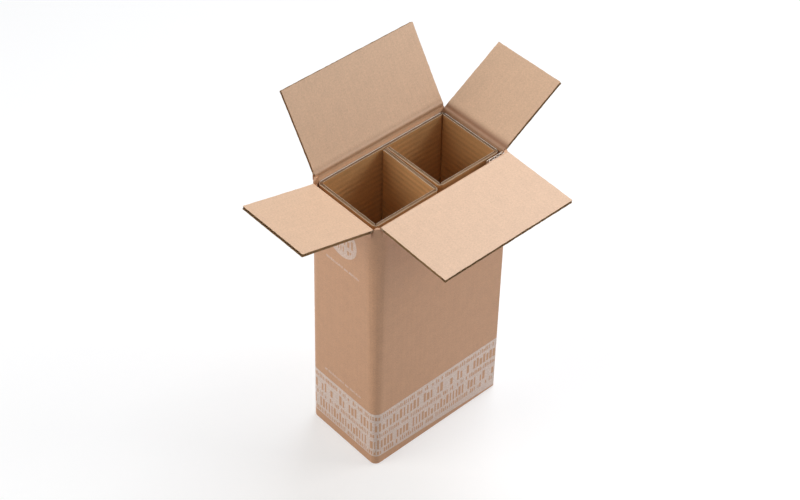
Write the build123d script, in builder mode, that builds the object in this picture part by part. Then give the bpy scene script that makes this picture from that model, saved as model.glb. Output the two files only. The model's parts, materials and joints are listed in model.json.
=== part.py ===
from build123d import *
import math
import os

os.makedirs("parts", exist_ok=True)

# Two-bottle shipping carton: a slotted outer carton folded from one blank, and a folded insert
# that makes two cells with a doubled divider. Millimetres, +Z up, origin at the centre of the base.
# The long front panel faces -Y, the short left panel faces -X.

# Corrugated board: two flat liners glued to a wavy middle layer
board = 4.0                   # thickness of the whole board
liner = 0.5                   # thickness of each liner
flute_pitch = 7.5             # from one wave of the middle layer to the next
flute_web = 0.6               # thickness of the middle layer
flute_crest = 1.4             # width of each crest that is glued to a liner
flute_mouth_depth = 5.0       # how far in from a cut edge the open flutes are modelled
side_channel_depth = 1.6      # open channel along a cut that runs beside the flutes

# Outer carton
carton_length = 208.0         # outside, along X
carton_width = 118.0          # outside, along Y
joint_setback = 6.0           # from the right end to the raw edge of the front panel
glue_tab = 26.0               # reach of the glue tab behind the front panel
base_fold_radius = 2.5        # outside radius of the folds round the base
base_slot = 2.0               # cut between a glued base flap and the panel beside it

# Upright folds: outside radii. The base holds them tight, and they open out towards the top.
fold_radius_foot = 9.0
front_left_fold_top = 20.0
back_left_fold_top = 18.0
back_right_fold_top = 10.0
tab_fold_foot = 5.0
tab_fold_top = 9.0
fold_strips = 6               # flat strips round each fold, as the liner buckles over its flutes

# Top creases: each flap that closes over another is creased one board higher
short_crease = 385.5          # left and right flaps, which close first
layer_gap = 0.3               # air between two closed flaps
hinge_gap = 0.3               # air between a flap's rolled root and the wall under it
flap_meeting_gap = 1.0        # between the tips of the closed left and right flaps
flap_corner = 2.5             # radius at a flap's free corners
flap_limit_angle = 130.0      # degrees from upright, where the board meets the wall
slot_margin = 0.75            # a slot runs this far past the flap's end

# How far each flap has swung out from upright, in degrees, as the carton stands
front_flap_angle = 92.6
back_flap_angle = 32.6
left_flap_angle = 75.4
right_flap_angle = 58.0

# Slots, from the carton's outer corner to the end of each flap
front_flap_left_slot = 9.0
back_flap_left_slot = 9.0
back_flap_right_slot = 4.0
left_flap_front_slot = 9.0
left_flap_back_slot = 8.0
right_flap_front_slot = 12.0
right_flap_back_slot = 5.0
slot_drop = 1.0               # from the front flap's crease down to the bottom of the slots

# Insert: gaps between its walls and the carton's inner faces
insert_gap_left = 7.0
insert_gap_right = 0.6
insert_gap_back = 1.0
left_cell_gap_front = 10.7    # the two cells' front walls don't line up
right_cell_gap_front = 13.7

# Divider: from the insert's middle to the face of each leaf in its cell, slightly askew
left_leaf_front = 4.7
left_leaf_back = 2.8
right_leaf_front = 7.2
right_leaf_back = 6.8
insert_fold_radius = 1.5      # inside radius of the insert's folds
leaf_end_gap = 1.0            # between the divider's cut ends and the back wall
insert_top_gap = 1.0          # between the insert and the closed left and right flaps

# Places that follow from the sizes above
half_length = carton_length / 2
half_width = carton_width / 2
half_board = board / 2
crease_x = half_length - half_board
crease_y = half_width - half_board
front_crease = short_crease + board + layer_gap
back_crease = front_crease + board + layer_gap
flap_clearance = half_board + hinge_gap
flap_depth = crease_x - flap_meeting_gap / 2
joint_x = half_length - joint_setback
inner_front = board - half_width
glue_tab_top = front_crease - flap_clearance - layer_gap
panel_top = back_crease - flap_clearance
slot_bottom = front_crease - slot_drop
tab_middle = joint_x - glue_tab / 2
floor_top = 3 * board
insert_top = short_crease - half_board - insert_top_gap
cell_left = insert_gap_left + 2 * board - half_length
cell_right = half_length - 2 * board - insert_gap_right
cell_back = half_width - 2 * board - insert_gap_back
cell_middle = (cell_left + cell_right) / 2
left_cell_front = left_cell_gap_front + 2 * board - half_width
right_cell_front = right_cell_gap_front + 2 * board - half_width

# Upright folds: outer corner, and the direction in which each leaves the panel before it
folds = {
    "front_left": (-half_length, -half_width, 270),
    "back_left": (-half_length, half_width, 180),
    "back_right": (half_length, half_width, 90),
    "tab": (half_length, inner_front, 0),
}

# Each flap's two ends, measured along its own crease line
flap_ends = {
    "front": (-joint_x, half_length - front_flap_left_slot),
    "back": (back_flap_left_slot - half_length, half_length - back_flap_right_slot),
    "left": (left_flap_front_slot - half_width, half_width - left_flap_back_slot),
    "right": (right_flap_back_slot - half_width, half_width - right_flap_front_slot),
}


def crease_plane(side, angle):
    """Plane of a flap swung out by angle: X along its crease, Y up the flap, Z off its inner face."""
    sine = math.sin(math.radians(angle))
    cosine = math.cos(math.radians(angle))
    if side == "front":
        return Plane((0, -crease_y, front_crease), x_dir=(-1, 0, 0), z_dir=(0, cosine, sine))
    if side == "back":
        return Plane((0, crease_y, back_crease), x_dir=(1, 0, 0), z_dir=(0, -cosine, sine))
    if side == "left":
        return Plane((-crease_x, 0, short_crease), x_dir=(0, 1, 0), z_dir=(cosine, 0, sine))
    return Plane((crease_x, 0, short_crease), x_dir=(0, -1, 0), z_dir=(-cosine, 0, sine))


def fold_points(fold, radius, inset):
    """Points round an upright fold, clockwise from above, moved in from the outside by inset."""
    x, y, start = folds[fold]
    middle_x = x - math.copysign(radius, x)
    middle_y = y - math.copysign(radius, y)
    angles = [math.radians(start - 90 * step / fold_strips) for step in range(fold_strips + 1)]
    reach = radius - inset
    return [(middle_x + reach * math.cos(a), middle_y + reach * math.sin(a)) for a in angles]


def panel_line(radii, inset):
    """Line along the panels, from the front one's raw edge round to the middle of the right one."""
    points = [(joint_x, inset - half_width)]
    for fold, radius in zip(("front_left", "back_left", "back_right"), radii):
        points += fold_points(fold, radius, inset)
    return [*points, (half_length - inset, 0)]


def tab_line(radius, inset):
    """Line along the rest of the right panel, round its fold, and along the glue tab."""
    points = fold_points("tab", radius, inset)
    return [(half_length - inset, 0), *points, (joint_x - glue_tab, inner_front + inset)]


def cut_block(low, high):
    """Cut away the block between two opposite corners."""
    size = [b - a for a, b in zip(low, high)]
    middle = [(a + b) / 2 for a, b in zip(low, high)]
    with Locations(tuple(middle)):
        Box(*size, mode=Mode.SUBTRACT)


def clear_flap_swing(side):
    """Trim the top of a wall so that its flap swings from shut to the open limit without touching."""
    start, end = flap_ends[side]
    upright = crease_plane(side, 0)
    section = Plane(
        upright.from_local_coords((start - slot_margin, 0, 0)),
        x_dir=upright.z_dir,
        z_dir=upright.x_dir,
    )
    lean = math.radians(180 - flap_limit_angle)
    bevel_start = flap_clearance * math.tan((math.pi / 2 - lean) / 2)
    outside = 2 * half_board
    bevel_end = (flap_clearance + outside * math.cos(lean)) / math.sin(lean)
    with BuildSketch(section) as above_wall:
        with BuildLine():
            Polyline(
                (2 * board, flap_clearance),
                (bevel_start, flap_clearance),
                (-outside, bevel_end),
                (-outside, -3 * board),
                (2 * board, -3 * board),
                close=True,
            )
        make_face()
    extrude(above_wall.sketch, amount=end - start + 2 * slot_margin, mode=Mode.SUBTRACT)


def flute_pocket():
    """Half of one open flute's mouth pair: the hollow between a liner and the wave above it."""
    core = half_board - liner
    foot = (flute_pitch - flute_crest) / 2
    roof = core - flute_web
    flank = math.atan2(2 * core - flute_web, flute_pitch / 2 - flute_crest)
    waist = (flute_pitch / 2 - flute_web / math.sin(flank)) / 2
    crest = flute_crest / 2
    return [(-foot, -core), (foot, -core), (waist, 0), (crest, roof), (-crest, roof), (-waist, 0)]


def add_flute_mouths(width):
    """Mouths of the open flutes that fit a cut edge, in turn against the one liner and the other."""
    pocket = flute_pocket()
    foot_width = flute_pitch - flute_crest
    count = 1 + int((width - foot_width) / flute_pitch)
    for step in range(2 * count - 1):
        with Locations(((step + 1 - count) * flute_pitch / 2, 0)):
            Polygon(*pocket, rotation=180 * (step % 2), align=None)


def form_flap(side, angle):
    """One top flap: rolled root, rounded free corners, and the flutes open at its cut edges."""
    start, end = flap_ends[side]
    crease = crease_plane(side, angle)
    section = Plane(
        crease.from_local_coords((start, 0, 0)),
        x_dir=crease.y_dir,
        z_dir=crease.x_dir,
    )
    with BuildSketch(section) as profile:
        with BuildLine():
            Line((0, -half_board), (flap_depth, -half_board))
            Line((flap_depth, -half_board), (flap_depth, half_board))
            Line((flap_depth, half_board), (0, half_board))
            CenterArc((0, 0), half_board, 90, 180)
        make_face()
    extrude(profile.sketch, amount=end - start)
    fillet(edges().filter_by(Axis(crease.origin, crease.z_dir)), radius=flap_corner)

    # Flute mouths along the free edge
    rim = side_channel_depth + flute_web
    free_edge = Plane(
        crease.from_local_coords(((start + end) / 2, flap_depth, 0)),
        x_dir=crease.x_dir,
        z_dir=crease.y_dir,
    )
    with BuildSketch(free_edge) as mouths:
        add_flute_mouths(end - start - 2 * rim)
    extrude(mouths.sketch, amount=-flute_mouth_depth, mode=Mode.SUBTRACT)

    # Open channel between the liners along the two side cuts
    channel_start = board
    channel_end = flap_depth - flap_corner
    with BuildSketch(crease) as channels:
        for cut in (start + side_channel_depth / 2, end - side_channel_depth / 2):
            with Locations((cut, (channel_start + channel_end) / 2)):
                Rectangle(side_channel_depth, channel_end - channel_start)
    extrude(channels.sketch, amount=half_board - liner, both=True, mode=Mode.SUBTRACT)


# Carton: four panels, glue tab and glued base, all one sheet
with BuildPart() as carton_body:
    # Base: short flaps under the insert, then the two long flaps lapped and glued
    with BuildSketch():
        with BuildLine():
            FilletPolyline(
                (joint_x, -half_width),
                (-half_length, -half_width),
                (-half_length, half_width),
                (half_length, half_width),
                (half_length, inner_front),
                (joint_x, inner_front),
                radius=(fold_radius_foot, fold_radius_foot, fold_radius_foot, tab_fold_foot),
            )
            Line((joint_x, inner_front), (joint_x, -half_width))
        make_face()
    extrude(amount=floor_top)
    fillet(edges().group_by(Axis.Z)[0], radius=base_fold_radius)

    # Underside: the outer base flap stops short of the back and of the two side panels
    with BuildSketch():
        Rectangle(carton_length - 2 * board, carton_width - 2 * board)
        with Locations((0, flap_depth - crease_y - half_width)):
            Rectangle(carton_length - 2 * board - 2 * base_slot, carton_width, mode=Mode.SUBTRACT)
    extrude(amount=board, mode=Mode.SUBTRACT)

    # Panels, opening out from the base to the top
    foot_radii = (fold_radius_foot, fold_radius_foot, fold_radius_foot)
    top_radii = (front_left_fold_top, back_left_fold_top, back_right_fold_top)
    with BuildSketch(Plane.XY.offset(floor_top)) as panels_foot:
        Polygon(*panel_line(foot_radii, 0), *reversed(panel_line(foot_radii, board)), align=None)
    with BuildSketch(Plane.XY.offset(panel_top)) as panels_top:
        Polygon(*panel_line(top_radii, 0), *reversed(panel_line(top_radii, board)), align=None)
    loft((panels_foot.sketch, panels_top.sketch), ruled=True)

    # The rest of the right panel, and the glue tab
    with BuildSketch(Plane.XY.offset(floor_top)) as tab_foot:
        Polygon(*tab_line(tab_fold_foot, 0), *reversed(tab_line(tab_fold_foot, board)), align=None)
    with BuildSketch(Plane.XY.offset(glue_tab_top)) as tab_top:
        Polygon(*tab_line(tab_fold_top, 0), *reversed(tab_line(tab_fold_top, board)), align=None)
    loft((tab_foot.sketch, tab_top.sketch), ruled=True)

    # Raw edge of the front panel: the cut runs along a flute
    cut_block(
        (joint_x - side_channel_depth, -crease_y - half_board + liner, floor_top),
        (joint_x, -crease_y + half_board - liner, back_crease),
    )

    # Flutes open at the top of the glue tab
    with BuildSketch(Plane((tab_middle, inner_front + half_board, glue_tab_top))) as tab_mouths:
        add_flute_mouths(glue_tab - 2 * board)
    extrude(tab_mouths.sketch, amount=-flute_mouth_depth, mode=Mode.SUBTRACT)

    # Bottoms of the four slots
    past_side = half_length + board
    past_front = half_width + board
    over_top = back_crease + board
    slot_left = front_flap_left_slot + slot_margin - half_length
    cut_block(
        (-past_side, -past_front, slot_bottom),
        (slot_left, left_flap_front_slot - slot_margin - half_width, over_top),
    )
    cut_block(
        (-past_side, half_width - left_flap_back_slot + slot_margin, slot_bottom),
        (back_flap_left_slot - slot_margin - half_length, past_front, over_top),
    )
    cut_block(
        (half_length - back_flap_right_slot + slot_margin, 0, slot_bottom),
        (past_side, past_front, over_top),
    )
    cut_block(
        (joint_x, -past_front, slot_bottom),
        (past_side, right_flap_front_slot - half_width, over_top),
    )

    for wall in ("front", "back", "left", "right"):
        clear_flap_swing(wall)

carton_body.part.label = "carton_body"
export_step(carton_body.part, "parts/carton_body.step")

with BuildPart() as front_flap:
    form_flap("front", front_flap_angle)
front_flap.part.label = "front_flap"
export_step(front_flap.part, "parts/front_flap.step")

with BuildPart() as back_flap:
    form_flap("back", back_flap_angle)
back_flap.part.label = "back_flap"
export_step(back_flap.part, "parts/back_flap.step")

with BuildPart() as left_flap:
    form_flap("left", left_flap_angle)
left_flap.part.label = "left_flap"
export_step(left_flap.part, "parts/left_flap.step")

with BuildPart() as right_flap:
    form_flap("right", right_flap_angle)
right_flap.part.label = "right_flap"
export_step(right_flap.part, "parts/right_flap.step")


def insert_line(outward):
    """Corner points of a line round the insert's walls, at a distance outward from the cells."""
    leaf_end = cell_back - leaf_end_gap
    return [
        (cell_middle - left_leaf_back + outward, leaf_end),
        (cell_middle - left_leaf_front + outward, left_cell_front - outward),
        (cell_left - outward, left_cell_front - outward),
        (cell_left - outward, cell_back + outward),
        (cell_right + outward, cell_back + outward),
        (cell_right + outward, right_cell_front - outward),
        (cell_middle + right_leaf_front - outward, right_cell_front - outward),
        (cell_middle + right_leaf_back - outward, leaf_end),
    ]


# Insert: one sheet folded round both cells, its two ends standing back to back as the divider
with BuildPart() as insert:
    with BuildSketch(Plane.XY.offset(floor_top)):
        with BuildLine():
            inside = FilletPolyline(*insert_line(0), radius=insert_fold_radius)
            outside = FilletPolyline(*insert_line(board), radius=insert_fold_radius + board)
            Line(inside @ 0, outside @ 0)
            Line(inside @ 1, outside @ 1)
        make_face()
    extrude(amount=insert_top - floor_top)
insert.part.label = "insert"
export_step(insert.part, "parts/insert.step")
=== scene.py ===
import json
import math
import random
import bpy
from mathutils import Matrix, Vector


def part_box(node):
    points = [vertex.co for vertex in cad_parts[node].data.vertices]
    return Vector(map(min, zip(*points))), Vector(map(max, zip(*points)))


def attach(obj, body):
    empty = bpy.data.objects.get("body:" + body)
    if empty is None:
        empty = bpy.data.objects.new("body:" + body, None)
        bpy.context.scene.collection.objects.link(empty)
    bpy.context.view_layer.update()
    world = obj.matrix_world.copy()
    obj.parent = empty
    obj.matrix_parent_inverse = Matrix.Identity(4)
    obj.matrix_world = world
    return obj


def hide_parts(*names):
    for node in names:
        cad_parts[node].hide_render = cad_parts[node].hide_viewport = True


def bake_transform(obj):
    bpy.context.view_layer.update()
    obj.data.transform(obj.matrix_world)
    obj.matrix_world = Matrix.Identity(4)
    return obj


bl_info = {
    "name": "Bottle Shipping Box",
    "version": (1, 0, 0),
    "blender": (4, 5, 0),
    "location": "View3D > Sidebar > Bottle Box",
    "description": "Builds an open corrugated carton for two bottles, with its folded insert",
    "category": "Object",
}

import bmesh
import bpy
from bpy.props import FloatProperty, FloatVectorProperty, PointerProperty, StringProperty
from mathutils import Euler, Vector, noise

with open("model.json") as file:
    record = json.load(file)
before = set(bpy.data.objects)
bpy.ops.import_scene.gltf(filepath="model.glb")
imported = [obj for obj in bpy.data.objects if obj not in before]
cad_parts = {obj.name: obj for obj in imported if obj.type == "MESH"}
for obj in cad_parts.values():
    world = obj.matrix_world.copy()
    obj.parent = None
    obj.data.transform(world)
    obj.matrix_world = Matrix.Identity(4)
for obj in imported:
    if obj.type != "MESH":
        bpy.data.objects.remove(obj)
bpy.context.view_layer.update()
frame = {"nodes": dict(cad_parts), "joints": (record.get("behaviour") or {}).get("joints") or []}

MM = 0.001
UP = Vector((0, 0, 1))
SIDES = ("front", "back", "left", "right")
INSERT_FLUTE_PITCH = 7.9 * MM

# The score on the inside of each crease, in millimetres: its height from the hinge's line, its
# half width, how far its middle stands off the board (below 0 it is pressed in), how far each side
# of the hinge the liner takes to turn, how far it swells off the wall below, and how far its liner
# runs up
SCORES = {
    "front": (0.0, 1.1, 0.3, 1.6, 0.05, 9.5),
    "left": (0.0, 1.1, 0.3, 1.6, 0.05, 9.5),
    "back": (-4.1, 1.5, -0.45, 3.0, 0.62, 9.5),
    "right": (3.2, 3.0, -0.5, 2.2, 0.05, 17.0),
}
# The outside of every crease, in the same order
OUTSIDE_SCORE = (0.0, 1.2, 0.22, 3.0, 0.05, 9.5)
# Painted shade and light at two creases: a brown band of painted shade along the score, and a paler
# strip of painted light below it: middle and width in metres, and strength
CREASE_PAINTED_SHADING = {
    "back": ((1.8 * MM, 3.2 * MM, 0.31), (-9.0 * MM, 3.0 * MM, 0.45)),
    "right": ((3.5 * MM, 5.2 * MM, 1.0), (-9.0 * MM, 3.0 * MM, 0.0)),
}

# Every liner: its paper's colour, how its sheet lies, and how much its flutes show through, in its
# bump and as painted shade of the liner's shallow waves
LINERS = {
    "kraft_liner_outside": ("outside", "panels", 1.0),  # brown, under the pale print
    "kraft_liner_inside": ("inside", "panels", 1.0),  # paler, down the inside of the walls
    "kraft_liner_flap_outside": ("outside", "flap", 1.0),  # brown and bare
    "kraft_liner_flap_inside": ("inside", "flap", 1.2),  # paler, with its flutes a little plainer
    "kraft_liner_crease_back": ("inside", "flap", 1.0),  # brown painted shade at the score, painted light on the strip below
    "kraft_liner_crease_right": ("inside", "flap", 1.0),  # brown painted shade in a wide soft band
    "kraft_liner_insert": ("insert", "insert", 9.0),  # yellower, with plain washboard lines: bump and painted shade of the flutes
}
# Every cut through the paper: its colour
CUT_PAPERS = {
    "cut_liner_edge": "cut_edge",  # greyish brown cuts of the carton
    "cut_insert_rim": "rim",  # pale lines round the insert's top
    "cut_insert_medium": "rim_middle",  # the brown line between them
    "cut_insert_rim_pale_top": "pale_top_rim",  # whitish torn fibres on the glue tab, and painted highlight along the insert's back and right rims
    "fluting_medium": "middle",  # the brown wave in the open flutes
}


class BottleBoxBoard(bpy.types.PropertyGroup):
    """Corrugated board: two liners on a wavy middle layer."""

    thickness: FloatProperty(
        name="Board Thickness", description="Whole C-flute board", default=4.0 * MM, unit="LENGTH"
    )
    liner: FloatProperty(
        name="Liner", description="Each flat paper layer", default=0.55 * MM, unit="LENGTH"
    )
    medium: FloatProperty(
        name="Middle Layer",
        description="Paper of the wavy layer",
        default=0.45 * MM,
        unit="LENGTH",
    )
    flute_pitch: FloatProperty(
        name="Flute Pitch",
        description="One wave of the middle layer",
        default=7.5 * MM,
        unit="LENGTH",
    )
    mouth_depth: FloatProperty(
        name="Open Flute Depth",
        description="How deep the open flutes are made",
        default=6.0 * MM,
        unit="LENGTH",
    )
    corner_radius: FloatProperty(
        name="Flap Corner",
        description="Blunted free corner of a flap",
        default=1.2 * MM,
        unit="LENGTH",
    )
    cut_roughness: FloatProperty(
        name="Cut Roughness",
        description="Unevenness of a cut edge",
        default=0.35 * MM,
        unit="LENGTH",
    )


class BottleBoxPaper(bpy.types.PropertyGroup):
    """Paper colours, as sRGB hex values."""

    outside: StringProperty(name="Outside Liner", description="Brown test liner", default="C79772")
    inside: StringProperty(
        name="Inside Liner", description="Paler face inside the carton", default="D2AD8D"
    )
    insert: StringProperty(
        name="Insert Liner", description="Yellower liner of the insert", default="C79B69"
    )
    rim: StringProperty(
        name="Insert Rim", description="Cut liners of the insert's top", default="BBA791"
    )
    # Whitish paper: the glue tab's torn fibres, and painted highlight on the insert's back and
    # right rims
    pale_top_rim: StringProperty(
        name="Frayed Rim",
        description="Whitish fibres of the insert's outer liner",
        default="E9E1D6",
    )
    rim_middle: StringProperty(
        name="Rim Middle",
        description="Middle layer between the insert's cut liners",
        default="94765A",
    )
    # Brown of the painted shade along a crease's score
    crease: StringProperty(
        name="Crease", description="Brown shade of a pressed score", default="8C6141"
    )
    cut_edge: StringProperty(name="Cut Edge", description="Fibres of a cut edge", default="A88D72")
    middle: StringProperty(
        name="Middle Layer", description="Brown recycled paper", default="A5825C"
    )
    ink: StringProperty(name="Print", description="Thin pale ink", default="DCCCC3")


class BottleBoxStage(bpy.types.PropertyGroup):
    """Camera, floor and soft studio light."""

    lens: FloatProperty(
        name="Focal Length", description="In millimetres on a 36 mm sensor", default=82.572
    )
    camera_place: FloatVectorProperty(
        name="Camera Place",
        description="In metres",
        default=(-1.0702, -1.1413, 1.7411),
        subtype="TRANSLATION",
    )
    camera_turn: FloatVectorProperty(
        name="Camera Turn",
        description="XYZ angles",
        default=(math.radians(46.5436), math.radians(-0.7981), math.radians(-42.0144)),
        subtype="EULER",
    )
    key_power: FloatProperty(
        name="Key Light", description="Softbox above, behind on the right, watts", default=31.2
    )
    left_power: FloatProperty(
        name="Left Light", description="Softbox at the camera's left, watts", default=22.2
    )
    right_power: FloatProperty(
        name="Right Light", description="Softbox at the camera's right, watts", default=20.8
    )
    ambient: FloatProperty(name="Ambient", description="Even light from all round", default=0.18)
    floor: StringProperty(name="Floor", description="Plain white sweep", default="F4F4F4")


def srgb_to_linear(hex_colour):
    """Linear RGBA of an sRGB hex colour."""
    channels = [int(hex_colour[i : i + 2], 16) / 255 for i in (0, 2, 4)]
    linear = [c / 12.92 if c <= 0.04045 else ((c + 0.055) / 1.055) ** 2.4 for c in channels]
    return (*linear, 1.0)


def add_node(tree, kind, inputs=None, **settings):
    """Add a node to a tree, set its settings, and fill its inputs.

    An input takes a value, a socket, or a node, which stands for its own first output.
    """
    node = tree.nodes.new(kind)
    for name, value in settings.items():
        setattr(node, name, value)
    for key, value in (inputs or {}).items():
        if isinstance(value, bpy.types.Node):
            value = value.outputs[0]
        if isinstance(value, bpy.types.NodeSocket):
            tree.links.new(value, node.inputs[key])
        else:
            node.inputs[key].default_value = value
    return node


def new_material(name):
    """An empty node material."""
    material = bpy.data.materials.new(name)
    material.use_nodes = True
    material.node_tree.nodes.clear()
    return material


def sheet_coordinates(tree, space):
    """The distance across the flutes and along them, in metres.

    A flap's UV map holds both. The insert's flutes lie level, so there they swap. Round the
    carton's panels the distance across is X on the long sides and Y on the short ones.
    """
    places = add_node(tree, "ShaderNodeTexCoord")
    if space == "panels":
        place = add_node(tree, "ShaderNodeSeparateXYZ", {0: places.outputs["Object"]})
        geometry = add_node(tree, "ShaderNodeNewGeometry")
        normal = add_node(tree, "ShaderNodeSeparateXYZ", {0: geometry.outputs["True Normal"]})
        size_x = add_node(tree, "ShaderNodeMath", {0: normal.outputs["X"]}, operation="ABSOLUTE")
        size_y = add_node(tree, "ShaderNodeMath", {0: normal.outputs["Y"]}, operation="ABSOLUTE")
        short_side = add_node(
            tree, "ShaderNodeMath", {0: size_x, 1: size_y}, operation="GREATER_THAN"
        )
        across = add_node(
            tree,
            "ShaderNodeMix",
            {"Factor": short_side, "A": place.outputs["X"], "B": place.outputs["Y"]},
            data_type="FLOAT",
        )
        return across, place.outputs["Z"]
    flat = add_node(tree, "ShaderNodeSeparateXYZ", {0: places.outputs["UV"]})
    if space == "insert":
        return flat.outputs["Y"], flat.outputs["X"]
    return flat.outputs["X"], flat.outputs["Y"]


def paper_layers(tree, across, along, pitch):
    """A liner's layers: clouds of pulp, fibres, specks, and the flutes showing through."""
    flat = add_node(tree, "ShaderNodeCombineXYZ", {0: across, 1: along})
    # Clouds of darker pulp, about 14 mm across
    clouds = add_node(
        tree, "ShaderNodeTexNoise", {"Vector": flat, "Scale": 1 / (14 * MM), "Detail": 3.0}
    )
    # Fibres, about 0.7 by 2.5 mm: longer than real ones, so that they show
    stretched = add_node(
        tree,
        "ShaderNodeVectorMath",
        {0: flat, 1: (1 / (0.7 * MM), 1 / (2.5 * MM), 1.0)},
        operation="MULTIPLY",
    )
    fibres = add_node(
        tree, "ShaderNodeTexNoise", {"Vector": stretched, "Scale": 1.0, "Detail": 2.0}
    )
    # Specks of recycled pulp, drawn 2 mm coarse, so that they show
    specks = add_node(
        tree, "ShaderNodeTexNoise", {"Vector": flat, "Scale": 1 / (2 * MM), "Detail": 2.0}
    )
    # The liner sinks a little between the crests of the flutes, unevenly over 30 by 60 mm
    sway = add_node(
        tree,
        "ShaderNodeVectorMath",
        {0: flat, 1: (1 / (30 * MM), 1 / (60 * MM), 1.0)},
        operation="MULTIPLY",
    )
    swaying = add_node(tree, "ShaderNodeTexNoise", {"Vector": sway, "Scale": 1.0, "Detail": 2.0})
    turns = add_node(
        tree, "ShaderNodeMath", {0: across, 1: 2 * math.pi / pitch}, operation="MULTIPLY"
    )
    shifted = add_node(
        tree, "ShaderNodeMath", {0: swaying, 1: 2.0, 2: turns}, operation="MULTIPLY_ADD"
    )
    crests = add_node(tree, "ShaderNodeMath", {0: shifted}, operation="SINE")
    strength = add_node(
        tree,
        "ShaderNodeMapRange",
        {"Value": swaying, "From Min": 0.35, "From Max": 0.65, "To Min": 0.25, "To Max": 1.0},
    )
    flutes = add_node(tree, "ShaderNodeMath", {0: crests, 1: strength}, operation="MULTIPLY")
    return clouds, fibres, specks, flutes


def weighted_sum(tree, base, parts):
    """A base value plus each part times its weight."""
    total = base
    for part, weight in parts:
        total = add_node(
            tree, "ShaderNodeMath", {0: part, 1: weight, 2: total}, operation="MULTIPLY_ADD"
        )
    return total


def printed_bars(tree, across, along, rows):
    """1 on rows of plain upright bars, uneven in width and height, and 0 beside them.

    A row is its bottom, its top and the width of one bar's cell, in millimetres.
    """
    bare_cells = 0.14
    narrowest, widest = 0.2, 0.42
    lowest, highest = 0.3, 0.62
    bars = 0.0
    for number, (bottom, top, width) in enumerate(rows):
        # Each row starts at other cells, so that no two rows are alike
        first_cell = 40.3 + 7.1 * number
        place = add_node(
            tree,
            "ShaderNodeMath",
            {0: across, 1: 1 / (width * MM), 2: first_cell},
            operation="MULTIPLY_ADD",
        )
        cell = add_node(tree, "ShaderNodeMath", {0: place}, operation="FLOOR")
        within = add_node(tree, "ShaderNodeMath", {0: place}, operation="FRACT")
        chance = add_node(tree, "ShaderNodeTexWhiteNoise", {"W": cell}, noise_dimensions="1D")
        half_width = add_node(
            tree,
            "ShaderNodeMapRange",
            {"Value": chance, "From Min": bare_cells, "To Min": narrowest, "To Max": widest},
        )
        inside = add_node(
            tree, "ShaderNodeMath", {0: within, 1: 0.5, 2: half_width}, operation="COMPARE"
        )
        kept = add_node(
            tree, "ShaderNodeMath", {0: chance, 1: bare_cells}, operation="GREATER_THAN"
        )
        tint = add_node(tree, "ShaderNodeSeparateColor", {0: chance.outputs["Color"]})
        half_height = add_node(
            tree,
            "ShaderNodeMapRange",
            {
                "Value": tint.outputs["Green"],
                "To Min": (top - bottom) * lowest * MM,
                "To Max": (top - bottom) * highest * MM,
            },
        )
        half_row = (top - bottom) / 2 * MM
        tallest = add_node(
            tree, "ShaderNodeMath", {0: half_height, 1: half_row}, operation="MINIMUM"
        )
        middle = add_node(tree, "ShaderNodeMath", {0: tallest, 1: bottom * MM}, operation="ADD")
        in_row = add_node(
            tree, "ShaderNodeMath", {0: along, 1: middle, 2: tallest}, operation="COMPARE"
        )
        shape = inside
        for part in (kept, in_row):
            shape = add_node(tree, "ShaderNodeMath", {0: shape, 1: part}, operation="MULTIPLY")
        bars = add_node(tree, "ShaderNodeMath", {0: shape, 1: bars}, operation="MAXIMUM")
    return bars


def left_side_ink(tree, across, along):
    """Cover of the left panel's print: a plain disc with bars left out, and two lines of bars."""
    left_panel = -90 * MM
    disc_height, disc_radius, core_radius = 341 * MM, 26 * MM, 21 * MM
    disc_rows = ((324, 332, 4.1), (336, 350, 6.3), (353, 358, 3.1))
    # Two lines of tiny bars, in millimetres: height, the middle of their length, and half of it
    lines = ((298, -1.5, 28.5), (104, 1.5, 34))
    half_line, line_cell = 1.9, 1.7
    thinness = 0.8
    places = add_node(tree, "ShaderNodeTexCoord")
    place = add_node(tree, "ShaderNodeSeparateXYZ", {0: places.outputs["Object"]})
    on_left = add_node(
        tree, "ShaderNodeMath", {0: place.outputs["X"], 1: left_panel}, operation="LESS_THAN"
    )
    rise = add_node(tree, "ShaderNodeMath", {0: along, 1: disc_height}, operation="SUBTRACT")
    offset = add_node(tree, "ShaderNodeCombineXYZ", {0: across, 1: rise})
    distance = add_node(tree, "ShaderNodeVectorMath", {0: offset}, operation="LENGTH")
    disc, core = (
        add_node(
            tree, "ShaderNodeMath", {0: distance.outputs["Value"], 1: radius}, operation="LESS_THAN"
        )
        for radius in (disc_radius, core_radius)
    )
    bars = printed_bars(tree, across, along, disc_rows)
    left_out = add_node(tree, "ShaderNodeMath", {0: core, 1: bars}, operation="MULTIPLY")
    total = add_node(tree, "ShaderNodeMath", {0: disc, 1: left_out}, operation="SUBTRACT")
    for height, middle, half_length in lines:
        line = printed_bars(
            tree, across, along, ((height - half_line, height + half_line, line_cell),)
        )
        span = add_node(
            tree,
            "ShaderNodeMath",
            {0: across, 1: middle * MM, 2: half_length * MM},
            operation="COMPARE",
        )
        short = add_node(tree, "ShaderNodeMath", {0: line, 1: span}, operation="MULTIPLY")
        total = add_node(tree, "ShaderNodeMath", {0: short, 1: total}, operation="MAXIMUM")
    only_left = add_node(tree, "ShaderNodeMath", {0: total, 1: on_left}, operation="MULTIPLY")
    return add_node(tree, "ShaderNodeMath", {0: only_left, 1: thinness}, operation="MULTIPLY")


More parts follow.
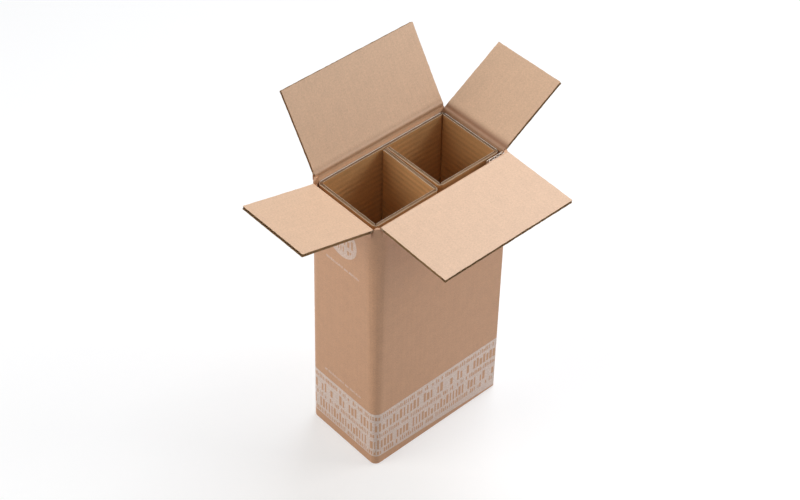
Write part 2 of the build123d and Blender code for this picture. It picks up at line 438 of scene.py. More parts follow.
def carton_ink(tree, across, along):
    """Cover of the pale print: the band round the foot of the carton, and the left panel's."""
    # The band was printed askew: its lower edge runs nearer to the foot towards the right
    band_bottom, band_top, slope = 9.5 * MM, 90 * MM, 0.055
    rows = ((17, 25, 3.3), (28, 44, 5.2), (48, 55, 3.0), (59, 75, 5.6), (79, 86, 3.1))
    places = add_node(tree, "ShaderNodeTexCoord")
    place = add_node(tree, "ShaderNodeSeparateXYZ", {0: places.outputs["Object"]})
    middle, half_height = (
        add_node(
            tree,
            "ShaderNodeMath",
            {0: place.outputs["X"], 1: sign * slope / 2, 2: (band_top - sign * band_bottom) / 2},
            operation="MULTIPLY_ADD",
        )
        for sign in (-1, 1)
    )
    band = add_node(
        tree, "ShaderNodeMath", {0: along, 1: middle, 2: half_height}, operation="COMPARE"
    )
    bars = printed_bars(tree, across, along, rows)
    bare = add_node(tree, "ShaderNodeMath", {0: 1.0, 1: bars}, operation="SUBTRACT")
    ink = add_node(tree, "ShaderNodeMath", {0: band, 1: bare}, operation="MULTIPLY")
    left_side = left_side_ink(tree, across, along)
    return add_node(tree, "ShaderNodeMath", {0: ink, 1: left_side}, operation="MAXIMUM")


def bell(tree, value, middle, width):
    """1 where a value is the middle one, falling smoothly over the width beside it."""
    away = add_node(tree, "ShaderNodeMath", {0: value, 1: middle}, operation="SUBTRACT")
    share = add_node(tree, "ShaderNodeMath", {0: away, 1: 1 / width}, operation="MULTIPLY")
    square = add_node(tree, "ShaderNodeMath", {0: share, 1: 2.0}, operation="POWER")
    falling = add_node(tree, "ShaderNodeMath", {0: square, 1: -1.0}, operation="MULTIPLY")
    return add_node(tree, "ShaderNodeMath", {0: falling}, operation="EXPONENT")


def finish_paper(tree, colour, tone, bump, roughness, specular):
    """Shade a colour by its tone, and end the material in a dull paper shader."""
    grey = add_node(tree, "ShaderNodeCombineColor", {0: tone, 1: tone, 2: tone})
    shaded = add_node(
        tree,
        "ShaderNodeMix",
        {"Factor": 1.0, "A": colour, "B": grey},
        data_type="RGBA",
        blend_type="MULTIPLY",
    )
    shader = add_node(
        tree,
        "ShaderNodeBsdfPrincipled",
        {
            "Base Color": shaded.outputs[2],
            "Roughness": roughness,
            "IOR": 1.5,
            "Specular IOR Level": specular,
            "Normal": bump,
        },
    )
    add_node(tree, "ShaderNodeOutputMaterial", {0: shader})


def kraft_liner(name, paper, space, show_through, pitch, printed, painted_shading):
    """Test liner, machine made: matt brown paper with cloudy pulp and faint lines over the flutes.

    The painted shading of a crease is two bands across the flutes: a brown band of painted shade
    along the score, and a paler strip of painted light below it. Each has its middle and width in
    metres, and its strength.
    """
    papers = bpy.context.scene.bottle_box_paper
    tree = new_material(name).node_tree
    across, along = sheet_coordinates(tree, space)
    layers = paper_layers(tree, across, along, pitch)
    # How much the clouds, fibres, specks and flutes shade the paper, and how much they stand up;
    # the flutes' share of the tone is painted shade of the liner's shallow waves
    tones = list(zip(layers, (0.16, 0.3, 0.34, 0.014 * show_through)))
    heights = list(zip(layers, (0.12, 0.035, 0.05, 0.012 * show_through)))
    colour = srgb_to_linear(getattr(papers, paper))
    if painted_shading:
        (score_middle, score_width, painted_shade), (lit_strip_middle, lit_strip_width, painted_light) = painted_shading
        # A paler strip of painted light below the score
        tones.append((bell(tree, along, lit_strip_middle, lit_strip_width), painted_light))
        # A brown band of painted shade along the score
        score = bell(tree, along, score_middle, score_width)
        share = add_node(tree, "ShaderNodeMath", {0: score, 1: painted_shade}, operation="MULTIPLY")
        shaded_score = add_node(
            tree,
            "ShaderNodeMix",
            {"Factor": share, "A": colour, "B": srgb_to_linear(papers.crease)},
            data_type="RGBA",
        )
        colour = shaded_score.outputs[2]
    if printed:
        ink = carton_ink(tree, across, along)
        # Flexo ink lies thin on the crests of the fibres, and the brown shows through it
        speckle = add_node(
            tree,
            "ShaderNodeMapRange",
            {"Value": layers[2], "From Min": 0.3, "From Max": 0.65, "To Min": 0.6, "To Max": 1.0},
        )
        cover = add_node(tree, "ShaderNodeMath", {0: ink, 1: speckle}, operation="MULTIPLY")
        inked = add_node(
            tree,
            "ShaderNodeMix",
            {"Factor": cover, "A": colour, "B": srgb_to_linear(papers.ink)},
            data_type="RGBA",
        )
        colour = inked.outputs[2]
    tone = weighted_sum(tree, 0.6, tones)
    height = weighted_sum(tree, 0.0, heights)
    bump = add_node(
        tree, "ShaderNodeBump", {"Strength": 1.0, "Distance": 1.0 * MM, "Height": height}
    )
    finish_paper(tree, colour, tone, bump, roughness=0.52, specular=0.65)


def cut_paper(name, paper):
    """Cut paper, sawn through by the die: rough, a little greyer, with loose fibres."""
    tree = new_material(name).node_tree
    colour = srgb_to_linear(getattr(bpy.context.scene.bottle_box_paper, paper))
    places = add_node(tree, "ShaderNodeTexCoord")
    # Torn fibres, about 0.5 mm, in patches of about 9 mm
    fibres, patches = (
        add_node(
            tree,
            "ShaderNodeTexNoise",
            {"Vector": places.outputs["Object"], "Scale": 1 / (size * MM), "Detail": detail},
        )
        for size, detail in ((0.5, 3.0), (9, 2.0))
    )
    tone = weighted_sum(tree, 0.62, ((fibres, 0.35), (patches, 0.4)))
    bump = add_node(
        tree, "ShaderNodeBump", {"Strength": 0.6, "Distance": 0.2 * MM, "Height": fibres}
    )
    finish_paper(tree, colour, tone, bump, roughness=0.95, specular=0.15)


def paper_material(name):
    """The liner or the cut paper of that name, made the first time that it is asked for."""
    if name not in bpy.data.materials:
        if name in CUT_PAPERS:
            cut_paper(name, CUT_PAPERS[name])
        else:
            flute_pitch = bpy.context.scene.bottle_box_board.flute_pitch
            pitch = INSERT_FLUTE_PITCH if name == "kraft_liner_insert" else flute_pitch
            printed = name == "kraft_liner_outside"
            painted_shading = CREASE_PAINTED_SHADING.get(name.removeprefix("kraft_liner_crease_"))
            kraft_liner(name, *LINERS[name], pitch, printed, painted_shading)
    return bpy.data.materials[name]


def smooth_step(value, low, high):
    """0 below low, 1 above high, and a smooth rise between."""
    t = min(max((value - low) / (high - low), 0.0), 1.0)
    return t * t * (3 - 2 * t)


class Crease:
    """A top flap's crease as the frame has it: its line, and which way the flap lies from it."""

    def __init__(self, side):
        joint = next(j for j in frame["joints"] if j["name"] == side + "_crease")
        self.body = joint["child"]
        self.centre = Vector(joint["pos_m"])
        self.along = Vector(joint["axis"])
        # The lower limit is the flap shut, 90 degrees inward of upright
        self.angle = math.radians(-joint["range_deg"][0] - 90)
        self.outward = self.along.cross(UP)
        self.up_flap = self.outward * math.sin(self.angle) + UP * math.cos(self.angle)
        self.inner = UP * math.sin(self.angle) - self.outward * math.cos(self.angle)
        places = [v.co - self.centre for v in frame["nodes"][self.body].data.vertices]
        self.start = min(p.dot(self.along) for p in places)
        self.end = max(p.dot(self.along) for p in places)
        self.depth = max(p.dot(self.up_flap) for p in places)

    def point(self, along, up, inner):
        """A point beside the crease: along it, up the flap and off its inner face, in metres."""
        return self.centre + self.along * along + self.up_flap * up + self.inner * inner

    def bent(self, along, height, off, share):
        """A point of the upright board, turned about the crease by a share of the flap's angle."""
        turn = share * self.angle
        outward = off * math.cos(turn) + height * math.sin(turn)
        up = height * math.cos(turn) - off * math.sin(turn)
        return self.centre + self.along * along + self.outward * outward + UP * up


class MeshMaker:
    """Collects the vertices, faces, material numbers and UV places of one piece."""

    def __init__(self):
        self.vertices = []
        self.flat = []
        self.faces = []
        self.slots = []

    def add_points(self, points, flat):
        first = len(self.vertices)
        self.vertices.extend(points)
        self.flat.extend(flat)
        return first

    def add_face(self, numbers, slot):
        self.faces.append(numbers)
        self.slots.append(slot)

    def add_tube(self, rings, count, slot_at, end_slot):
        """Faces from ring to ring of so many points each, and over both ends."""
        for number, (a, b) in enumerate(zip(rings, rings[1:])):
            for i in range(count):
                after = (i + 1) % count
                self.add_face([a + i, a + after, b + after, b + i], slot_at(number, i))
        self.add_face([rings[0] + i for i in reversed(range(count))], end_slot)
        self.add_face([rings[-1] + i for i in range(count)], end_slot)

    def build(self, name, materials, smooth_angle=None):
        mesh = bpy.data.meshes.new(name)
        mesh.from_pydata([tuple(v) for v in self.vertices], [], self.faces)
        for material in materials:
            mesh.materials.append(paper_material(material))
        mesh.polygons.foreach_set("material_index", self.slots)
        layer = mesh.uv_layers.new(name="Sheet")
        for loop in mesh.loops:
            layer.data[loop.index].uv = self.flat[loop.vertex_index]
        if smooth_angle is not None:
            mesh.shade_smooth()
            mesh.set_sharp_from_angle(angle=smooth_angle)
        mesh.validate()
        piece = bpy.data.objects.new(name, mesh)
        bpy.context.scene.collection.objects.link(piece)
        return piece


def cut_outline(crease, board, root, seed):
    """A flap's liner on its plane: root corners square, free corners blunted, cut edges uneven."""
    rng = random.Random(seed)
    radius = board.corner_radius
    spacing = 4 * MM
    arc_steps = 5

    def uneven():
        return rng.uniform(-1, 0) * board.cut_roughness

    def corner(centre, quarter):
        turns = [math.pi / 2 * (quarter + i / arc_steps) for i in range(arc_steps + 1)]
        return [
            (centre + radius * math.cos(turn), crease.depth - radius + radius * math.sin(turn))
            for turn in turns
        ]

    steps = int((crease.depth - root - 2 * radius) / spacing)
    rise = [root + (crease.depth - radius - root) * (i + 1) / (steps + 1) for i in range(steps)]
    outline = [(crease.start, root), (crease.end, root)]
    outline += [(crease.end + uneven(), up) for up in rise]
    outline += corner(crease.end - radius, 0)
    straight = crease.end - crease.start - 2 * radius
    steps = int(straight / spacing)
    for i in range(steps):
        place = crease.end - radius - straight * (i + 1) / (steps + 1)
        outline.append((place, crease.depth + uneven()))
    outline += corner(crease.start + radius, 1)
    outline += [(crease.start - uneven(), up) for up in reversed(rise)]
    return outline


def add_liner(maker, crease, outline, low, high, face_slot, back_slot, edge_slot):
    """One liner of a flap: a thin sheet between two heights off the flap's middle."""
    lower = maker.add_points([crease.point(s, t, low) for s, t in outline], outline)
    upper = maker.add_points([crease.point(s, t, high) for s, t in outline], outline)
    count = len(outline)
    upper_slot, lower_slot = (face_slot, back_slot) if high > 0 else (back_slot, face_slot)
    maker.add_face([upper + i for i in range(count)], upper_slot)
    maker.add_face([lower + i for i in reversed(range(count))], lower_slot)
    for i in range(count):
        after = (i + 1) % count
        maker.add_face([lower + i, lower + after, upper + after, upper + i], edge_slot)


def add_medium(maker, crease, board, slot, seed):
    """The wavy middle layer where it shows: along the free edge of a flap."""
    rng = random.Random(seed)
    swing = board.thickness / 2 - board.liner - board.medium / 2
    steps_per_wave = 10
    margin = 0.4 * MM
    set_back = 0.25 * MM
    crushing, crush_length = 0.08, 12 * MM
    phase = rng.uniform(0, 2 * math.pi)
    width = crease.end - crease.start - 2 * margin
    count = int(width / board.flute_pitch * steps_per_wave)
    grid = []
    for i in range(count + 1):
        place = crease.start + margin + width * i / count
        turn = 2 * math.pi * (place - crease.start) / board.flute_pitch + phase
        crush = 1 - crushing * noise.noise(Vector((place / crush_length, seed, 0)))
        height = swing * crush * math.sin(turn)
        corner_cut = max(0.0, board.corner_radius - min(place - crease.start, crease.end - place))
        column = [
            (place, up, height + side * board.medium)
            for up in (crease.depth - board.mouth_depth, crease.depth - set_back - corner_cut)
            for side in (-0.5, 0.5)
        ]
        points = [crease.point(*c) for c in column]
        grid.append(maker.add_points(points, [(c[0], c[1]) for c in column]))
    for a, b in zip(grid, grid[1:]):
        maker.add_face([a, b, b + 2, a + 2], slot)
        maker.add_face([a + 1, a + 3, b + 3, b + 1], slot)
        maker.add_face([a + 2, b + 2, b + 3, a + 3], slot)
        maker.add_face([a, a + 1, b + 1, b], slot)


def add_bar(maker, crease, section, start, end, slot):
    """A bar along the crease with the given section, as (up the flap, off its middle) points."""
    rings = []
    for place in (start, end):
        points = [crease.point(place, up, off) for up, off in section]
        rings.append(maker.add_points(points, [(place, up) for up, off in section]))
    maker.add_tube(rings, len(section), lambda number, i: slot, slot)


def make_flap(side, seed):
    """A top flap: two liners with their cut edges, the open flutes, and the crushed root."""
    board = bpy.context.scene.bottle_box_board
    crease = Crease(side)
    maker = MeshMaker()
    half = board.thickness / 2
    core = half - board.liner
    root = 2.6 * MM
    # Depth of the open channels along the side cuts
    channel = 1.3 * MM
    # Where the score lies on the flap itself, the inside liner there is the crease's own
    middle, half_width, stand_off = SCORES[side][:3]
    pressed_in = stand_off < 0 < middle
    inner_root = (middle + 1.6 * half_width) * MM if pressed_in else root
    crushed_top = half - (1.4 if pressed_in else 0.1) * MM
    # Material numbers: inside liner, outside liner, cut edge, middle layer
    add_liner(maker, crease, cut_outline(crease, board, inner_root, seed), core, half, 0, 3, 2)
    add_liner(maker, crease, cut_outline(crease, board, root, seed + 1), -half, -core, 1, 3, 2)
    add_medium(maker, crease, board, 3, seed)
    mouth = crease.depth - board.mouth_depth
    filled = [(inner_root, -core), (mouth, -core), (mouth, core), (inner_root, core)]
    add_bar(maker, crease, filled, crease.start + channel, crease.end - channel, 3)
    # Crushed board at the crease, closing round its line
    crushed = 1.1 * MM
    steps = 6
    turns = [math.pi * i / steps for i in range(steps + 1)]
    root_end = [(-crushed * math.sin(turn), crushed * math.cos(turn)) for turn in turns]
    wedge = [
        (inner_root, crushed_top),
        (root, crushed_top),
        *root_end,
        (root, -core),
        (inner_root, -core),
    ]
    add_bar(maker, crease, wedge, crease.start, crease.end, 2)
    materials = (
        "kraft_liner_flap_inside",
        "kraft_liner_flap_outside",
        "cut_liner_edge",
        "fluting_medium",
    )
    piece = maker.build(side + "_flap_board", materials)
    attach(piece, crease.body)
    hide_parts(crease.body)


def make_crease_skin(side, face, seed):
    """The liner that runs over a crease, on one of its faces, with the mark of the score."""
    board = bpy.context.scene.bottle_box_board
    crease = Crease(side)
    half = board.thickness / 2
    inward = -1 if face == "inside" else 1
    score = SCORES[side] if face == "inside" else OUTSIDE_SCORE
    middle, half_width, stand_off = score[:3]
    reach, swell, highest = (size * MM for size in score[3:])
    paper = 0.3 * MM
    proud = 0.05 * MM
    # The edges of the skin sink this far into the board over this height
    sunk, sinking = 0.1 * MM, 1.5 * MM
    # A liner that swells off the wall starts further down it
    lowest = (-19 if swell > proud else -9.5) * MM
    row_height, station_width, fewest_stations = 0.5 * MM, 4 * MM, 12
    # The swelling dies away between these heights
    swell_end = (-1 * MM, 2 * MM)
    # The score's depth and its line wander over these lengths
    deeper, depth_length = 0.25, 9 * MM
    aside, line_length = 0.5, 25 * MM
    rows = int((highest - lowest) / row_height)
    heights = [lowest + (highest - lowest) * i / rows for i in range(rows + 1)]
    stations = max(fewest_stations, int((crease.end - crease.start) / station_width))
    half_skin = (highest - lowest) / 2
    maker = MeshMaker()
    rings = []
    for i in range(stations + 1):
        place = crease.start + (crease.end - crease.start) * i / stations
        wander = noise.noise(Vector((place / depth_length, seed, 0)))
        line = (middle + aside * noise.noise(Vector((place / line_length, seed, 5)))) * MM
        points = []
        for thickness, order in ((0, heights), (paper, heights[::-1])):
            for height in order:
                mark = math.exp(-(((height - line) / (half_width * MM)) ** 2))
                pressed = stand_off * MM * mark * (1 + deeper * wander)
                lift = swell + (proud - swell) * smooth_step(height, *swell_end)
                from_middle = abs(height - (lowest + highest) / 2)
                ends = smooth_step(from_middle, half_skin - sinking, half_skin)
                off = half + lift - ends * (lift + sunk) + pressed - thickness
                share = smooth_step(height, -reach, reach)
                points.append((crease.bent(place, height, inward * off, share), (place, height)))
        rings.append(maker.add_points([p for p, _ in points], [f for _, f in points]))
    maker.add_tube(rings, 2 * len(heights), lambda number, i: 0, 1)
    if face == "outside":
        liner = "kraft_liner_flap_outside"
    elif side in CREASE_PAINTED_SHADING:
        liner = "kraft_liner_crease_" + side
    else:
        liner = "kraft_liner_flap_inside"
    piece = maker.build(f"{side}_crease_{face}", (liner, "cut_liner_edge"), math.radians(50))
    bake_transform(piece)


def make_carton():
    """The carton's sheet: the frame's shape with soft upright folds, its liners and cut edges."""
    body = frame["nodes"]["carton_body"]
    mesh = body.data.copy()
    mesh.name = "carton_board"
    shape = bmesh.new()
    shape.from_mesh(mesh)
    bmesh.ops.remove_doubles(shape, verts=shape.verts, dist=0.01 * MM)
    shape.normal_update()
    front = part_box("carton_body")[0].y
    # Cut tops lie above this height, and the sheet's raw end beside the front panel's right fold
    near_top, end_width = 370 * MM, 4.5 * MM
    # The back right corner's top, whose inside and cut faces take the middle layer's dark brown:
    # painted shade of that narrow corner
    corner_x, corner_y = 96.5 * MM, 49 * MM
    # The glue tab's top, behind the front panel
    tab_x, tab_y, half_tab, tab_top = 70 * MM, -53 * MM, 2.1 * MM, 380 * MM
    for face in shape.faces:
        centre = face.calc_center_median()
        inward = face.normal.x * centre.x + face.normal.y * centre.y < 0
        cut_top = face.normal.z > 0.7
        raw_edge = face.normal.x > 0.9 and abs(centre.y - front) < end_width
        painted_shade_corner = centre.x > corner_x and centre.y > corner_y and centre.z > near_top
        tab_end = centre.x > tab_x and abs(centre.y - tab_y) < half_tab and centre.z > tab_top
        # Painted shade at the back right corner's top; the glue tab's top shows its real open
        # flutes
        if painted_shade_corner and (cut_top or inward) or tab_end:
            face.material_index = 3
        elif (cut_top and centre.z > near_top) or raw_edge:
            face.material_index = 2
        else:
            face.material_index = 1 if inward else 0
    shape.to_mesh(mesh)
    shape.free()
    mesh.materials.clear()
    for name in ("kraft_liner_outside", "kraft_liner_inside", "cut_liner_edge", "fluting_medium"):
        mesh.materials.append(paper_material(name))
    mesh.shade_smooth()
    mesh.set_sharp_from_angle(angle=math.radians(25))
    piece = bpy.data.objects.new("carton_board", mesh)
    bpy.context.scene.collection.objects.link(piece)
    # The flat panels keep their own normals, and only the folds shade round
    weights = piece.modifiers.new("flat_panels", "WEIGHTED_NORMAL")
    weights.keep_sharp = True
    weights.weight = 100
    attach(piece, "carton")
    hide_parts("carton_body")


def make_tab_top():
    """The top of the glue tab, which leans off the front panel and shows its open flutes."""
    board = bpy.context.scene.bottle_box_board
    half = board.thickness / 2
    core = half - board.liner
    swing = core - board.medium / 2
    left, right = 72.6 * MM, 97.5 * MM
    foot, top = 368 * MM, 387.3 * MM
    lean = 3.2 * MM
    clearance = 0.15 * MM
    tearing, tear_length = 0.5 * MM, 3 * MM
    row_steps, steps_per_wave = 6, 12
    foot_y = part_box("carton_body")[0].y + 1.5 * board.thickness + clearance
    rows = [foot + (top - foot) * i / row_steps for i in range(row_steps + 1)]
    steps = int((right - left) / board.flute_pitch * steps_per_wave)
    maker = MeshMaker()
    # Material numbers: inside liner, middle layer, pale torn top of every layer
    for layer, slot in (("outer", 0), ("medium", 1), ("inner", 0)):
        rings = []
        for i in range(steps + 1):
            place = left + (right - left) * i / steps
            wave = swing * math.sin(2 * math.pi * place / board.flute_pitch)
            low, high = {
                "outer": (-half, -core),
                "medium": (wave - board.medium / 2, wave + board.medium / 2),
                "inner": (core, half),
            }[layer]
            torn = tearing * abs(noise.noise(Vector((place / tear_length, core, slot))))
            ring = [(off, up) for off, ups in ((low, rows), (high, rows[::-1])) for up in ups]
            points = []
            for off, up in ring:
                y = foot_y + off + lean * smooth_step(up, foot, top)
                points.append((place, y, up - (torn if up == top else 0)))
            rings.append(maker.add_points(points, [(place, up) for off, up in ring]))
        count = 2 * len(rows)
        for a, b in zip(rings, rings[1:]):
            for i in range(count):
                after = (i + 1) % count
                torn_top = i == len(rows) - 1
                maker.add_face([a + i, b + i, b + after, a + after], 2 if torn_top else slot)
        maker.add_face([rings[0] + i for i in range(count)], 2)
        maker.add_face([rings[-1] + i for i in reversed(range(count))], 2)
    materials = ("kraft_liner_flap_inside", "fluting_medium", "cut_insert_rim_pale_top")
    piece = maker.build("glue_tab_top", materials)
    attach(piece, "carton")


def rounded_path(corners, radius, arc_steps, spacing):
    """Points along a line with rounded corners, with more of them on its long straights."""
    points = [corners[0]]
    for before, corner, after in zip(corners, corners[1:], corners[2:]):
        back = (before - corner).normalized()
        ahead = (after - corner).normalized()
        half_angle = math.acos(max(-1, min(1, back.dot(ahead)))) / 2
        reach = radius / math.tan(half_angle)
        centre = corner + (back + ahead).normalized() * (radius / math.sin(half_angle))
        first = corner + back * reach - centre
        last = corner + ahead * reach - centre
        for step in range(arc_steps + 1):
            points.append(centre + first.lerp(last, step / arc_steps).normalized() * radius)
    points.append(corners[-1])
    dense = [points[0]]
    for a, b in zip(points, points[1:]):
        pieces = max(1, int((b - a).length / spacing))
        dense.extend(a.lerp(b, (k + 1) / pieces) for k in range(pieces))
    return dense


def insert_corners(board, low, high):
    """Corners of the insert's middle line, from the left leaf's end round to the right leaf's."""
    half = board.thickness / 2
    left, right = low.x + half, high.x - half
    back = high.y - half
    left_front = low.y + half
    # The right cell is a little shallower than the left one
    right_front = left_front + 3 * MM
    leaf_gap = 1.9 * MM
    leaf_end = back - half - leaf_gap
    middle = (low.x + high.x) / 2
    # Each leaf stands slightly askew: its place at its end, and at its fold
    left_leaf_end, left_leaf_fold = middle - 0.8 * MM, middle - 2.7 * MM
    right_leaf_end, right_leaf_fold = middle + 4.8 * MM, middle + 5.2 * MM
    return [
        Vector((left_leaf_end, leaf_end)),
        Vector((left_leaf_fold, left_front)),
        Vector((left, left_front)),
        Vector((left, back)),
        Vector((right, back)),
        Vector((right, right_front)),
        Vector((right_leaf_fold, right_front)),
        Vector((right_leaf_end, leaf_end)),
    ]


def make_insert():
    """The insert: one sheet folded round both cells, its top cut open between the liners."""
    board = bpy.context.scene.bottle_box_board
    low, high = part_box("insert")
    half = board.thickness / 2
    core = half - board.liner
    corners = insert_corners(board, low, high)
    fold_radius, fold_steps, spacing = 3.5 * MM, 6, 6 * MM
    fold_reach = fold_radius * (math.sqrt(2) - 1)
    # The inner liner is pinched into the middle of each fold, and squeezed thinner there
    pinch_depth, pinch_width, squeezed = 2.8 * MM, 0.6 * MM, 0.6
    # Length over which the cut wanders, how far the liners fray down, and how far below them, in
    # millimetres, the middle layer lies
    cut_length, fraying = 5 * MM, 0.5 * MM
    recess, recess_change = 1.0, 0.5
    # How much thicker the whitish outer liner's top is made, widening its painted highlight
    pale_top_thickness, tolerance = 0.5 * MM, 0.1 * MM
    path = rounded_path(corners, fold_radius, fold_steps, spacing)
    maker = MeshMaker()
    rings = []
    pale_top = []
    distance = 0.0
    for i, place in enumerate(path):
        before = path[max(i - 1, 0)]
        after = path[min(i + 1, len(path) - 1)]
        heading = (after - before).normalized()
        outward = Vector((heading.y, -heading.x))
        if i:
            distance += (place - path[i - 1]).length
        from_fold = min((place - corner).length for corner in corners[1:-1]) - fold_reach
        inner = half - pinch_depth * math.exp(-((from_fold / pinch_width) ** 2))
        inner_core = min(core, inner - board.liner * squeezed)
        rough = [noise.noise(Vector((distance / cut_length, k * 3.7, 1))) for k in range(3)]
        outer_top = high.z - abs(rough[0]) * fraying
        inner_top = high.z - abs(rough[2]) * fraying
        # Along the back and the right wall the outer liner's top is whitish and a little thicker:
        # painted highlight on those rims
        pale_top.append(max(place.y - corners[3].y, place.x - corners[4].x) > -tolerance)
        outer_core = -core + (pale_top_thickness if pale_top[-1] else 0)
        section = (
            # off the middle line, height
            (-half, low.z),
            (-half, outer_top),
            (outer_core, outer_top),
            (outer_core, high.z - (recess + recess_change * rough[1]) * MM),
            (inner_core, high.z - (recess - recess_change * rough[1]) * MM),
            (inner_core, inner_top),
            (inner, inner_top),
            (inner, low.z),
        )
        points = [(place.x + outward.x * off, place.y + outward.y * off, z) for off, z in section]
        rings.append(maker.add_points(points, [(distance, z) for off, z in section]))
    # Material numbers: liner, cut liners, middle layer, whitish liner top (painted highlight)
    slots = (0, 1, 2, 2, 2, 1, 0, 1)

    def slot_at(number, i):
        return 3 if i == 1 and pale_top[number] and pale_top[number + 1] else slots[i]

    maker.add_tube(rings, len(slots), slot_at, 1)
    materials = (
        "kraft_liner_insert",
        "cut_insert_rim",
        "cut_insert_medium",
        "cut_insert_rim_pale_top",
    )
    piece = maker.build("insert_board", materials, smooth_angle=math.radians(40))
    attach(piece, "carton")
    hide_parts("insert")


class BOTTLEBOX_OT_carton(bpy.types.Operator):
    """Make the carton's sheet with its printed brown liner"""

    bl_idname = "bottle_box.carton"
    bl_label = "Make Carton"

    def execute(self, context):
        make_carton()
        make_tab_top()
        return {"FINISHED"}


class BOTTLEBOX_OT_flaps(bpy.types.Operator):
    """Make the four top flaps with their open flutes"""

    bl_idname = "bottle_box.flaps"
    bl_label = "Make Flaps"

    def execute(self, context):
        # Each flap's seeds are its own, so that no two are cut alike
        for number, side in enumerate(SIDES):
            make_flap(side, seed=11 + 7 * number)
        return {"FINISHED"}


class BOTTLEBOX_OT_creases(bpy.types.Operator):
    """Make the liners that run over the four creases"""

    bl_idname = "bottle_box.creases"
    bl_label = "Make Creases"

    def execute(self, context):
        for number, side in enumerate(SIDES):
            make_crease_skin(side, "inside", seed=3 + number)
            make_crease_skin(side, "outside", seed=23 + number)
        return {"FINISHED"}


class BOTTLEBOX_OT_insert(bpy.types.Operator):
    """Make the folded insert with its two cells"""

    bl_idname = "bottle_box.insert"
    bl_label = "Make Insert"

    def execute(self, context):
        make_insert()
        return {"FINISHED"}


def seen_directly(tree):
    """1 for rays from the camera, mirrored or passed through, and 0 for scattered light."""
    path = add_node(tree, "ShaderNodeLightPath")
    seen = path.outputs["Is Camera Ray"]
    for ray in ("Is Glossy Ray", "Is Transmission Ray"):
        seen = add_node(
            tree, "ShaderNodeMath", {0: seen, 1: path.outputs[ray]}, operation="MAXIMUM"
        )
    return seen


def add_floor(hex_colour):
    """A plain white floor: matt to the box's light, and white to the camera but for the shadow."""
    size, below = 6.0, 0.2 * MM
    bpy.ops.mesh.primitive_grid_add(
        size=size, x_subdivisions=2, y_subdivisions=2, location=(0, 0, -below)
    )
    floor = bpy.context.object
    floor.name = "floor"
    # Painted studio floor, rolled on: plain, even and dull
    material = new_material("painted_studio_floor")
    tree = material.node_tree
    matt = add_node(tree, "ShaderNodeBsdfDiffuse", {"Color": srgb_to_linear(hex_colour)})
    half_matt = add_node(tree, "ShaderNodeBsdfDiffuse", {"Color": (0.5, 0.5, 0.5, 1)})
    glow = add_node(tree, "ShaderNodeEmission", {"Color": (1, 1, 1, 1), "Strength": 0.53})
    lit = add_node(tree, "ShaderNodeAddShader", {0: half_matt, 1: glow})
    seen = add_node(tree, "ShaderNodeMixShader", {0: seen_directly(tree), 1: matt, 2: lit})
    add_node(tree, "ShaderNodeOutputMaterial", {0: seen})
    floor.data.materials.append(material)


def add_world(ambient):
    """Even light from all round, with white behind the box."""
    world = bpy.data.worlds.new("studio_surround")
    world.use_nodes = True
    tree = world.node_tree
    tree.nodes.clear()
    level = add_node(
        tree,
        "ShaderNodeMix",
        {"Factor": seen_directly(tree), "A": ambient, "B": 1.0},
        data_type="FLOAT",
    )
    background = add_node(tree, "ShaderNodeBackground", {"Color": (1, 1, 1, 1), "Strength": level})
    add_node(tree, "ShaderNodeOutputWorld", {0: background})
    bpy.context.scene.world = world


def add_lamp(name, place, aim, size, power, colour):
    """A square soft lamp at a place, turned towards a point."""
    lamp = bpy.data.lights.new(name, "AREA")
    lamp.size = size
    lamp.energy = power
    lamp.color = colour
    holder = bpy.data.objects.new(name, lamp)
    holder.location = place
    holder.rotation_euler = (Vector(aim) - Vector(place)).to_track_quat("-Z", "Y").to_euler()
    bpy.context.scene.collection.objects.link(holder)


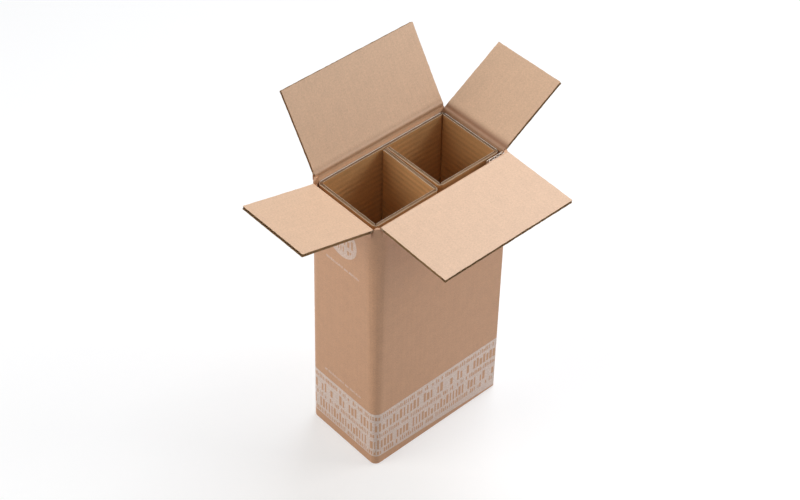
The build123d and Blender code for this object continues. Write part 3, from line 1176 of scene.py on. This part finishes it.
class BOTTLEBOX_OT_stage(bpy.types.Operator):
    """Set up the floor, the soft light and the camera"""

    bl_idname = "bottle_box.stage"
    bl_label = "Set Stage"

    def execute(self, context):
        stage = context.scene.bottle_box_stage
        add_floor(stage.floor)
        add_world(stage.ambient)
        box_middle, softbox_size = (0, 0, 0.25), 1.2
        for name, place, power, colour in (
            ("key_softbox", (0.99, 0.33, 2.19), stage.key_power, (0.95, 1.0, 1.07)),
            ("left_softbox", (-1.76, 0.88, 1.24), stage.left_power, (1.02, 0.99, 0.95)),
            ("right_softbox", (1.55, -1.11, 1.36), stage.right_power, (1.0, 0.985, 0.97)),
        ):
            add_lamp(name, place, box_middle, softbox_size, power, colour)
        camera = bpy.data.cameras.new("camera")
        camera.sensor_width = 36
        camera.lens = stage.lens
        holder = bpy.data.objects.new("camera", camera)
        holder.location = stage.camera_place
        holder.rotation_euler = Euler(stage.camera_turn)
        context.scene.collection.objects.link(holder)
        context.scene.camera = holder
        context.scene.view_settings.view_transform = "Standard"
        return {"FINISHED"}


class BOTTLEBOX_PT_panel(bpy.types.Panel):
    """Bottle shipping box"""

    bl_idname = "BOTTLEBOX_PT_panel"
    bl_label = "Bottle Shipping Box"
    bl_space_type = "VIEW_3D"
    bl_region_type = "UI"
    bl_category = "Bottle Box"

    def draw(self, context):
        scene = context.scene
        for group in (scene.bottle_box_board, scene.bottle_box_paper, scene.bottle_box_stage):
            box = self.layout.box()
            for name in group.__annotations__:
                box.prop(group, name)
        for operator in OPERATORS:
            self.layout.operator(operator.bl_idname)


GROUPS = {
    "bottle_box_board": BottleBoxBoard,
    "bottle_box_paper": BottleBoxPaper,
    "bottle_box_stage": BottleBoxStage,
}
OPERATORS = (
    BOTTLEBOX_OT_carton,
    BOTTLEBOX_OT_flaps,
    BOTTLEBOX_OT_creases,
    BOTTLEBOX_OT_insert,
    BOTTLEBOX_OT_stage,
)


def register():
    for cls in (*GROUPS.values(), *OPERATORS, BOTTLEBOX_PT_panel):
        bpy.utils.register_class(cls)
    for name, group in GROUPS.items():
        setattr(bpy.types.Scene, name, PointerProperty(type=group))


def unregister():
    for name in GROUPS:
        delattr(bpy.types.Scene, name)
    for cls in reversed((*GROUPS.values(), *OPERATORS, BOTTLEBOX_PT_panel)):
        bpy.utils.unregister_class(cls)


def main():
    register()
    bpy.ops.bottle_box.carton()
    bpy.ops.bottle_box.flaps()
    bpy.ops.bottle_box.creases()
    bpy.ops.bottle_box.insert()
    bpy.ops.bottle_box.stage()
    bpy.context.view_layer.update()


if __name__ == "__main__":
    main()
